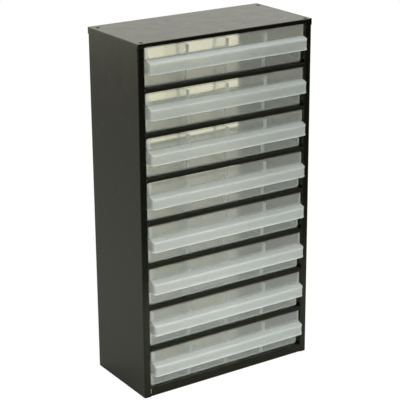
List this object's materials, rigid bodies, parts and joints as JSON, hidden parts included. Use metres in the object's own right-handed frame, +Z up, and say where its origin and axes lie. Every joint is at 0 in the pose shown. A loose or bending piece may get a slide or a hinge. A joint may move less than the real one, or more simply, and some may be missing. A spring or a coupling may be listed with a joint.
{
  "type": "parts bin cabinet",
  "caption": "Free-standing parts cabinet: a folded steel case holding a column of translucent pull-out drawers, each split into compartments by loose upright dividers.",
  "frame": {"origin": "on the ground, under the middle of the overall size, hooded pulls included", "axes": "+Z up, -Y out of the front where the drawers open, +X to the right of a person facing the front"},
  "size_m": [0.31, 0.155, 0.554],
  "materials": {
    "case_paint": "semi-gloss near-black powder coat",
    "drawer_plastic": "translucent natural polypropylene, satin",
    "divider_plastic": "translucent natural polypropylene, satin"
  },
  "bodies": {
    "case": {"top_cap": "case_paint", "left_side": "case_paint", "right_side": "case_paint", "base_pan": "case_paint", "shelf_1": "case_paint", "shelf_2": "case_paint", "shelf_3": "case_paint", "shelf_4": "case_paint", "shelf_5": "case_paint", "shelf_6": "case_paint", "shelf_7": "case_paint"},
    "drawer_unit_1": {"drawer_1": "drawer_plastic", "drawer_1_divider_1": "divider_plastic", "drawer_1_divider_2": "divider_plastic", "drawer_1_divider_3": "divider_plastic"},
    "drawer_unit_2": {"drawer_2": "drawer_plastic", "drawer_2_divider_1": "divider_plastic", "drawer_2_divider_2": "divider_plastic", "drawer_2_divider_3": "divider_plastic"},
    "drawer_unit_3": {"drawer_3": "drawer_plastic", "drawer_3_divider_1": "divider_plastic", "drawer_3_divider_2": "divider_plastic", "drawer_3_divider_3": "divider_plastic"},
    "drawer_unit_4": {"drawer_4": "drawer_plastic", "drawer_4_divider_1": "divider_plastic", "drawer_4_divider_2": "divider_plastic", "drawer_4_divider_3": "divider_plastic"},
    "drawer_unit_5": {"drawer_5": "drawer_plastic", "drawer_5_divider_1": "divider_plastic", "drawer_5_divider_2": "divider_plastic", "drawer_5_divider_3": "divider_plastic"},
    "drawer_unit_6": {"drawer_6": "drawer_plastic", "drawer_6_divider_1": "divider_plastic", "drawer_6_divider_2": "divider_plastic", "drawer_6_divider_3": "divider_plastic"},
    "drawer_unit_7": {"drawer_7": "drawer_plastic", "drawer_7_divider_1": "divider_plastic", "drawer_7_divider_2": "divider_plastic", "drawer_7_divider_3": "divider_plastic"},
    "drawer_unit_8": {"drawer_8": "drawer_plastic", "drawer_8_divider_1": "divider_plastic", "drawer_8_divider_2": "divider_plastic", "drawer_8_divider_3": "divider_plastic"}
  },
  "joints": [
    {"name": "drawer_1_slide", "type": "slide", "parent": "case", "child": "drawer_unit_1", "axis": [0, -1, 0], "range_m": [0, 0.11]},
    {"name": "drawer_2_slide", "type": "slide", "parent": "case", "child": "drawer_unit_2", "axis": [0, -1, 0], "range_m": [0, 0.11]},
    {"name": "drawer_3_slide", "type": "slide", "parent": "case", "child": "drawer_unit_3", "axis": [0, -1, 0], "range_m": [0, 0.11]},
    {"name": "drawer_4_slide", "type": "slide", "parent": "case", "child": "drawer_unit_4", "axis": [0, -1, 0], "range_m": [0, 0.11]},
    {"name": "drawer_5_slide", "type": "slide", "parent": "case", "child": "drawer_unit_5", "axis": [0, -1, 0], "range_m": [0, 0.11]},
    {"name": "drawer_6_slide", "type": "slide", "parent": "case", "child": "drawer_unit_6", "axis": [0, -1, 0], "range_m": [0, 0.11]},
    {"name": "drawer_7_slide", "type": "slide", "parent": "case", "child": "drawer_unit_7", "axis": [0, -1, 0], "range_m": [0, 0.11]},
    {"name": "drawer_8_slide", "type": "slide", "parent": "case", "child": "drawer_unit_8", "axis": [0, -1, 0], "range_m": [0, 0.11]}
  ]
}
